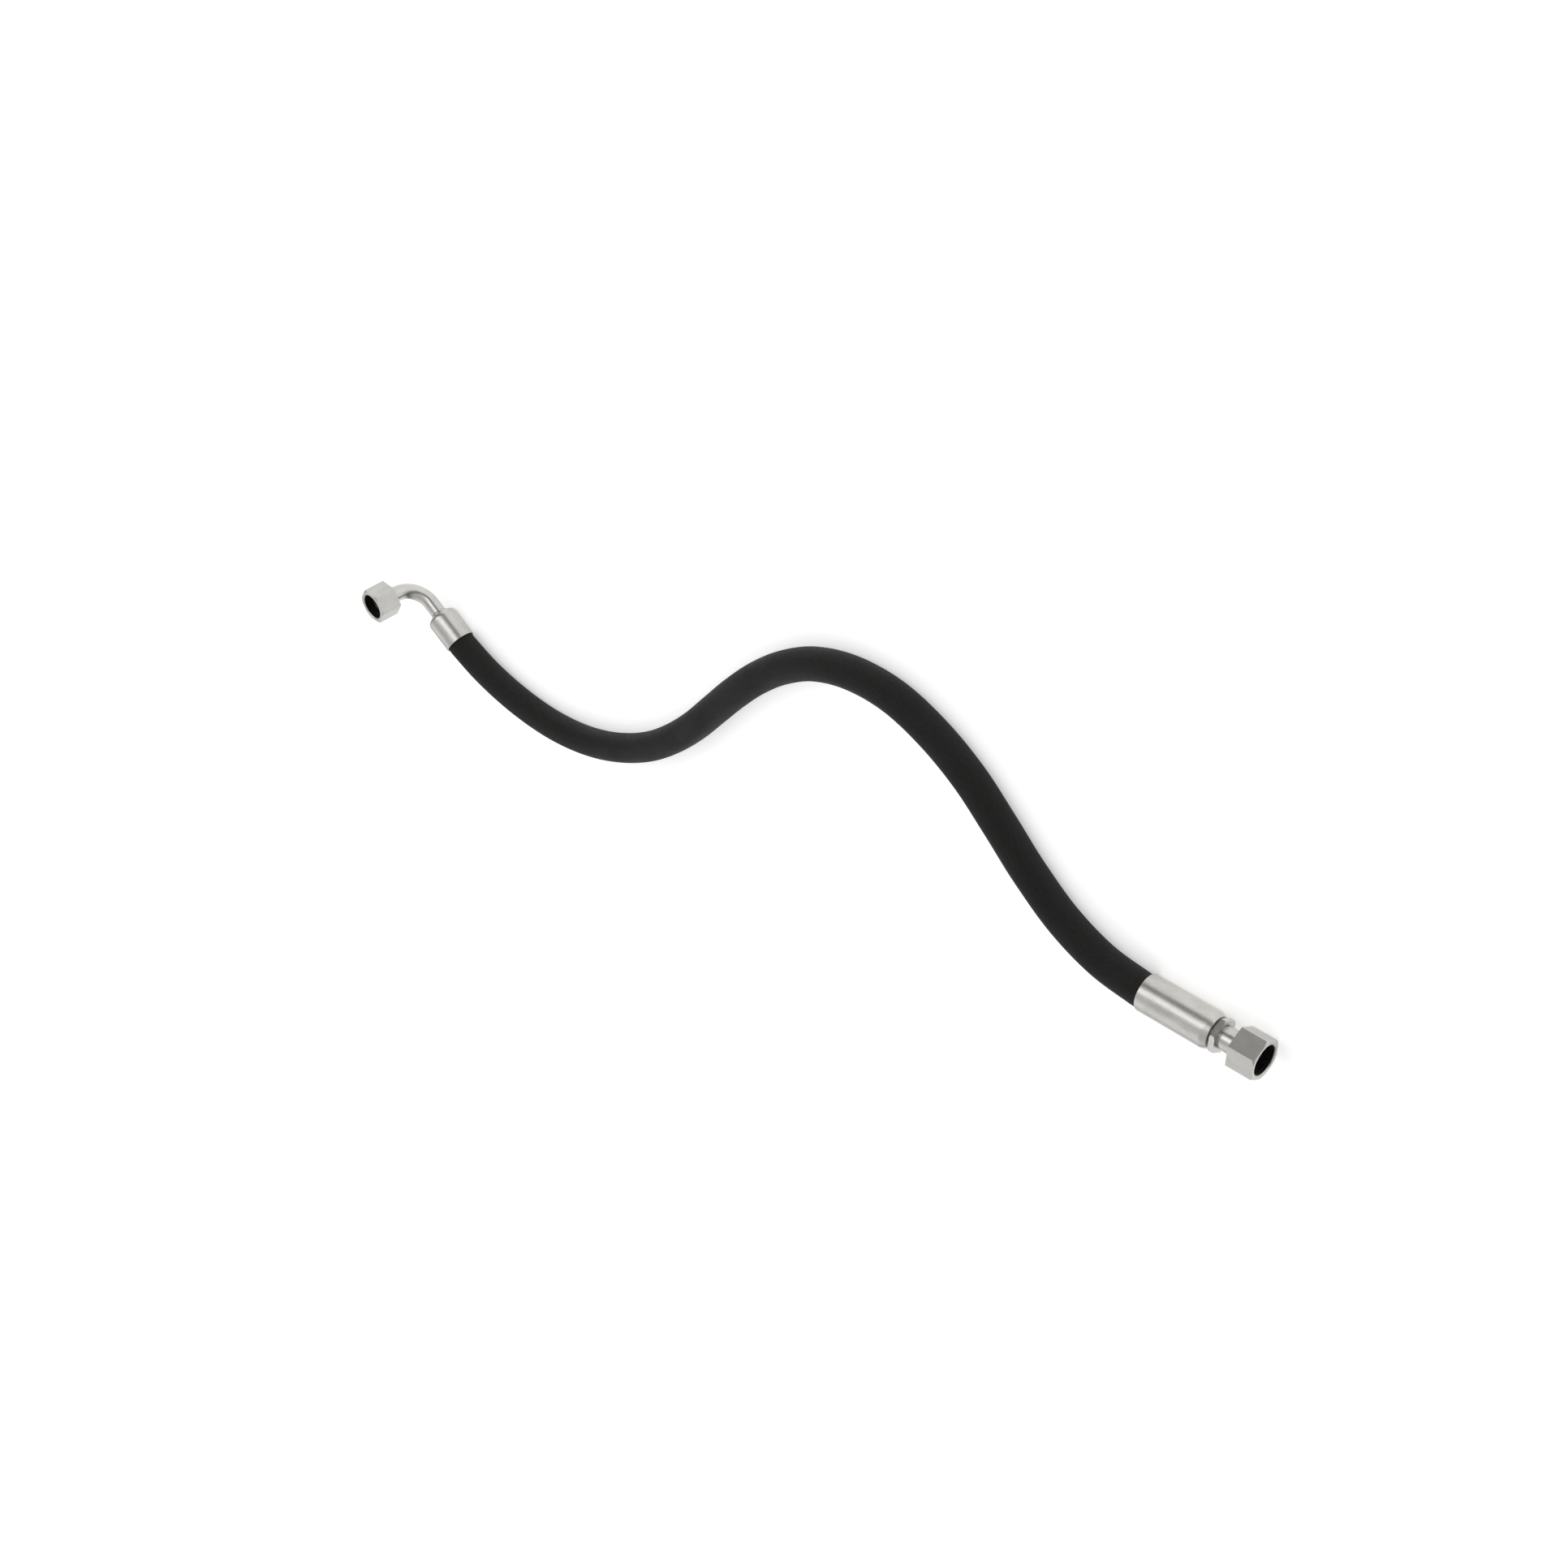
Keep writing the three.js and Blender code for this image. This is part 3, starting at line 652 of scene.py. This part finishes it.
def thrust_wire():
    """A round spring wire bent to a ring with a gap, sitting half in the neck and half in the nut."""
    steps, sides = 90, 12
    vertices, faces = [], []
    for i in range(steps + 1):
        turn = (WIRE["gap_start"] + WIRE["turn"] * i / steps) * DEGREE
        for k in range(sides):
            angle = 2 * math.pi * k / sides
            r = WIRE["centre"] + WIRE["section"] * math.cos(angle)
            vertices.append((r * math.cos(turn), r * math.sin(turn),
                             -WIRE["back"] + WIRE["section"] * math.sin(angle)))
    for i in range(steps):
        for k in range(sides):
            n = (k + 1) % sides
            faces.append((i * sides + k, (i + 1) * sides + k, (i + 1) * sides + n, i * sides + n))
    faces.append(tuple(range(sides)))
    faces.append(tuple(range(steps * sides + sides - 1, steps * sides - 1, -1)))
    piece = build("straight_thrust_wire_split", vertices, faces, vertices, STRAIGHT)
    settle(piece, SPRING_WIRE, "spring_wire", "hose", "straight_thrust_wire")


o_ring("straight_o_ring_round", "straight_o_ring", STRAIGHT)
o_ring("elbow_o_ring_round", "elbow_o_ring", ELBOW_TOP)
thrust_wire()

# ---- ferrules -----------------------------------------------------------------------------------


def ferrule_inside(size):
    """The front wall's lip, the biting teeth, then the wider mouth over the hose cover."""
    tooth = FERRULE["tip"]
    pocket = tooth + FERRULE["pocket"]
    cavity = size["front"] + FERRULE["wall"]
    lip = size["rear"] - FERRULE["rear_lip"]
    points = [
        (size["lip"], -size["front"], 0.15),
        (size["lip"], -cavity, 0.1),
        (pocket, -cavity, 0.1),
    ]
    count = int((lip - cavity - FERRULE["tooth"]) // FERRULE["pitch"])
    for i in range(1, count + 1):
        back = cavity + i * FERRULE["pitch"]
        points.append((pocket, -back + FERRULE["tooth"], 0.1))
        points.append((tooth, -back + FERRULE["tooth"] / 2, 0.1))
        points.append((tooth, -back, 0.1))
        points.append((pocket, -back, 0.1))
    points.append((pocket, -lip, 0.1))
    points.append((FERRULE["cover"], -lip, 0.1))
    points.append((FERRULE["cover"], -size["rear"], 0.15))
    return points


def straight_ferrule():
    size = STRAIGHT_FERRULE
    points = [
        *ferrule_inside(size),
        (FERRULE["outer"], -size["rear"], 0.5),
        (FERRULE["outer"], -size["front"] - size["chamfer"], 0.9),
        (FERRULE["outer"] - size["drop"], -size["front"], 0.35),
    ]
    piece = turned("straight_ferrule_crimped", outline(points, 4), even_angles(144), STRAIGHT)
    settle(piece, FERRULE_PLATE, "plated_ferrule", "hose", "straight_ferrule")


def elbow_ferrule():
    size = ELBOW_FERRULE
    shoulder = size["shoulder"]
    points = [
        *ferrule_inside(size),
        (FERRULE["outer"], -size["rear"], 0.5),
    ]
    arc_steps = 12
    for k in range(arc_steps + 1):
        angle = k / arc_steps * math.pi / 2
        points.append((FERRULE["outer"] - shoulder * (1 - math.cos(angle)),
                       -size["front"] - shoulder * (1 - math.sin(angle)), 0))
    piece = turned("elbow_ferrule_crimped", outline(points, 4), even_angles(144), ELBOW_SIDE)
    settle(piece, FERRULE_PLATE, "plated_ferrule", "hose", "elbow_ferrule")


straight_ferrule()
elbow_ferrule()

# ---- nipple, tail insert, tube and cone head ----------------------------------------------------


def barbs(start, end):
    points = [(TAIL["radius"] - TAIL["barb"], -end, 0.1)]
    for i in range(int((end - start) // TAIL["pitch"]), 0, -1):
        back = start + i * TAIL["pitch"]
        points.append((TAIL["radius"] - TAIL["barb"], -back, 0.05))
        points.append((TAIL["radius"], -back + TAIL["width"], 0.05))
        points.append((TAIL["radius"] - TAIL["barb"], -back + TAIL["width"], 0.05))
    points.append((TAIL["radius"] - TAIL["barb"], -start, 0.1))
    return points


def nipple_outline(angle):
    side = hexagon_radius(COLLAR["flats"], angle)
    face = min(COLLAR["face"], side - EDGE_STEP)
    chamfer = (side - face) * CHAMFER_SLOPE
    half = WIRE["section"] + GAP
    groove = WIRE["centre"] - half
    step = NECK_RADIUS - cone_at(CONE_END)
    return rounded([
        (SEAT["bore"], -STRAIGHT_FERRULE["rear"] + TAIL["setback"], 0.1),
        *barbs(STRAIGHT_TAIL["start"], STRAIGHT_FERRULE["rear"] - TAIL["setback"]),
        (STRAIGHT_TAIL["ledge"], -STRAIGHT_TAIL["start"], 0.1),
        (STRAIGHT_TAIL["ledge"], -STRAIGHT_TAIL["ledge_front"], 0.1),
        (STRAIGHT_TAIL["stem"], -STRAIGHT_TAIL["ledge_front"], 0.1),
        (STRAIGHT_TAIL["stem"], -COLLAR["rear"], 0.1),
        (face, -COLLAR["rear"], 0.08),
        (side, -COLLAR["rear"] + chamfer, 0.1),
        (side, -COLLAR["front"] - chamfer, 0.1),
        (face, -COLLAR["front"], 0.08),
        (COLLAR["waist"], -COLLAR["front"], 0.1),
        (COLLAR["waist"], -COLLAR["front"] + COLLAR["waist_width"], 0.1),
        (NECK_RADIUS, -COLLAR["front"] + COLLAR["waist_width"], 0.25),
        (NECK_RADIUS, -WIRE["back"] - half, 0.1),
        (groove, -WIRE["back"] - half, 0.1),
        (groove, -WIRE["back"] + half, 0.1),
        (NECK_RADIUS, -WIRE["back"] + half, 0.1),
        (NECK_RADIUS, -CONE_END - step, 0.1),
        *cone_outline(),
    ])


def straight_nipple():
    piece = turned("straight_nipple_turned", nipple_outline, hexagon_angles(), STRAIGHT, 22)
    # The front of the nipple, inside the nut, gets the painted shade.
    shade_inside(piece, FITTING_PLATE, SEAT_PAINTED_SHADE, lambda reach, depth: depth > -SEAT_SHADE)
    settle(piece, FITTING_PLATE, "plated_fitting", "hose", "straight_nipple")


def elbow_tail_insert():
    front = ELBOW_FERRULE["front"]
    socket = TUBE_RADIUS + GAP
    end = ELBOW_FERRULE["rear"] - TAIL["setback"]
    points = [
        (SEAT["bore"], -end, 0.1),
        *barbs(front + ELBOW_TAIL["start"], end),
        (ELBOW_TAIL["ledge"], -front - ELBOW_TAIL["start"], 0.1),
        (ELBOW_TAIL["ledge"], -front - ELBOW_TAIL["ledge_front"], 0.1),
        (ELBOW_TAIL["throat"], -front - ELBOW_TAIL["ledge_front"], 0.1),
        (ELBOW_TAIL["throat"], -front + ELBOW_TAIL["throat_front"], 0.1),
        (ELBOW_TAIL["nose"], -front + ELBOW_TAIL["throat_front"], 0.1),
        (ELBOW_TAIL["nose"], -front + ELBOW_TAIL["nose_front"], 0.3),
        (socket, -front + ELBOW_TAIL["nose_front"], 0.1),
        (socket, -front - ELBOW_TAIL["socket_depth"], 0.1),
        (SEAT["bore"], -front - ELBOW_TAIL["socket_depth"], 0.1),
    ]
    piece = turned("elbow_tail_insert_turned", outline(points), even_angles(96), ELBOW_SIDE)
    settle(piece, FITTING_PLATE, "plated_fitting", "hose", "elbow_tail_insert")


def braze_ring():
    """The braze fillet: full at the insert's nose, feathering out up the tube."""
    low = -ELBOW_FERRULE["front"] + ELBOW_TAIL["nose_front"] + FILLET["gap"]
    inner = TUBE_RADIUS + FILLET["gap"]
    points = [
        (inner, low, 0.0),
        (FILLET["foot"], low, 0.15),
        (inner + FILLET["waist"], low + FILLET["waist_height"], 0.3),
        (inner + FILLET["feather"], low + FILLET["height"], 0.1),
        (inner, low + FILLET["height"], 0.0),
    ]
    piece = turned("elbow_braze_fillet", outline(points, 5), even_angles(96), ELBOW_SIDE)
    settle(piece, BRAZE, "braze_alloy", "hose", "elbow_braze_ring")


def elbow_cone_head():
    socket = TUBE_RADIUS + GAP
    bottom = CONE_END + CONE_HEAD["socket_depth"]
    points = [
        (SEAT["bore"], -bottom, 0.1),
        (socket, -bottom, 0.1),
        (socket, -CONE_HEAD["rear"], 0.1),
        (CONE_HEAD["rear_radius"], -CONE_HEAD["rear"], 0.1),
        (CONE_HEAD["shoulder"], -CONE_HEAD["shoulder_back"], 0.1),
        (CONE_HEAD["shoulder"], -CONE_END, 0.2),
        *cone_outline(),
    ]
    piece = turned("elbow_cone_head_turned", outline(points), even_angles(96), ELBOW_TOP)
    # The cone head, inside the nut, gets the painted shade.
    shade_inside(piece, FITTING_PLATE, SEAT_PAINTED_SHADE, lambda reach, depth: depth > -SEAT_SHADE)
    settle(piece, FITTING_PLATE, "plated_fitting", "hose", "elbow_cone_head")


def elbow_tube():
    """Straight out of the tail insert, round the bend and up into the cone head."""
    up = Vector((0, 0, 1))
    side = up.cross(elbow_along)
    path = [elbow_corner + elbow_along * (ELBOW_FERRULE["front"] + 6) * MM]
    frames = [(side, up)]
    steps = 48
    for i in range(steps + 1):
        angle = i / steps * math.pi / 2
        out = 1 - math.sin(angle)
        rise = 1 - math.cos(angle)
        path.append(elbow_corner + (elbow_along * out + up * rise) * BEND_RADIUS * MM)
        frames.append((side, up * math.cos(angle) + elbow_along * math.sin(angle)))
    path.append(elbow_mouth - up * (CONE_END + CONE_HEAD["socket_depth"] + GAP) * MM)
    frames.append((side, elbow_along))
    piece = swept("elbow_tube_bent", path, frames, TUBE_RADIUS, TUBE_BORE, 64)
    settle(piece, TUBE_PLATE, "plated_fitting", "hose", "elbow_tube")


straight_nipple()
elbow_tail_insert()
braze_ring()
elbow_cone_head()
elbow_tube()

# ---- floor and light ----------------------------------------------------------------------------


def pale_floor():
    """White paper on a faintly glowing light table, so that it looks white without a hard light."""
    mesh = bpy.data.meshes.new("floor")
    reach = 30
    mesh.from_pydata([(-reach, -reach, 0), (reach, -reach, 0), (reach, reach, 0), (-reach, reach, 0)],
                     [], [(0, 1, 2, 3)])
    floor = bpy.data.objects.new("floor", mesh)
    bpy.context.scene.collection.objects.link(floor)
    material = bpy.data.materials.new("floor_paper")
    material.use_nodes = True
    surface = material.node_tree.nodes["Principled BSDF"]
    surface.inputs["Base Color"].default_value = (0.85, 0.85, 0.85, 1)
    surface.inputs["Roughness"].default_value = 0.9
    surface.inputs["Specular IOR Level"].default_value = 0.0
    surface.inputs["Emission Color"].default_value = (1, 1, 1, 1)
    surface.inputs["Emission Strength"].default_value = 0.47
    mesh.materials.append(material)
    floor.location.z = -0.0002


def softbox(name, place, target, size, radiance):
    """A rectangular light whose brightness is given as its radiance."""
    data = bpy.data.lights.new(name, "AREA")
    data.shape = "RECTANGLE"
    data.size, data.size_y = size
    data.energy = radiance * size[0] * size[1] * math.pi
    light = bpy.data.objects.new(name, data)
    bpy.context.scene.collection.objects.link(light)
    place, target = Vector(place), Vector(target)
    light.location = place
    light.rotation_mode = "QUATERNION"
    light.rotation_quaternion = (target - place).to_track_quat("-Z", "Y")


def studio_world():
    """A pale backdrop; what the metal reflects is dark at the horizon, with one broad bright side."""
    world = bpy.data.worlds.new("world")
    world.use_nodes = True
    tree = world.node_tree
    background = tree.nodes["Background"]
    direction = tree.nodes.new("ShaderNodeTexCoord")

    def glow(towards, start, end, low, high):
        facing = tree.nodes.new("ShaderNodeVectorMath")
        facing.operation = "DOT_PRODUCT"
        facing.inputs[1].default_value = Vector(towards).normalized()
        strength = tree.nodes.new("ShaderNodeMapRange")
        strength.interpolation_type = "SMOOTHSTEP"
        strength.inputs["From Min"].default_value = start
        strength.inputs["From Max"].default_value = end
        strength.inputs["To Min"].default_value = low
        strength.inputs["To Max"].default_value = high
        tree.links.new(direction.outputs["Generated"], facing.inputs[0])
        tree.links.new(facing.outputs["Value"], strength.inputs["Value"])
        return strength.outputs["Result"]

    total = tree.nodes.new("ShaderNodeMath")
    total.operation = "ADD"
    tree.links.new(glow((0, 0, 1), 0.15, 0.6, 0.1, 0.66), total.inputs[0])
    tree.links.new(glow((-0.55, -0.75, 0.35), 0.55, 0.95, 0.0, 0.5), total.inputs[1])
    sight = tree.nodes.new("ShaderNodeLightPath")
    backdrop = tree.nodes.new("ShaderNodeMix")
    backdrop.inputs["B"].default_value = 0.97
    tree.links.new(sight.outputs["Is Camera Ray"], backdrop.inputs["Factor"])
    tree.links.new(total.outputs["Value"], backdrop.inputs["A"])
    tree.links.new(backdrop.outputs["Result"], background.inputs["Strength"])
    background.inputs["Color"].default_value = (1, 1, 1, 1)
    bpy.context.scene.world = world


bpy.context.scene.view_settings.view_transform = "Standard"
pale_floor()
studio_world()
softbox("strip_ahead", (-0.4, 2.0, 2.2), (0, 0, 0), (4.5, 1.4), 1.2)
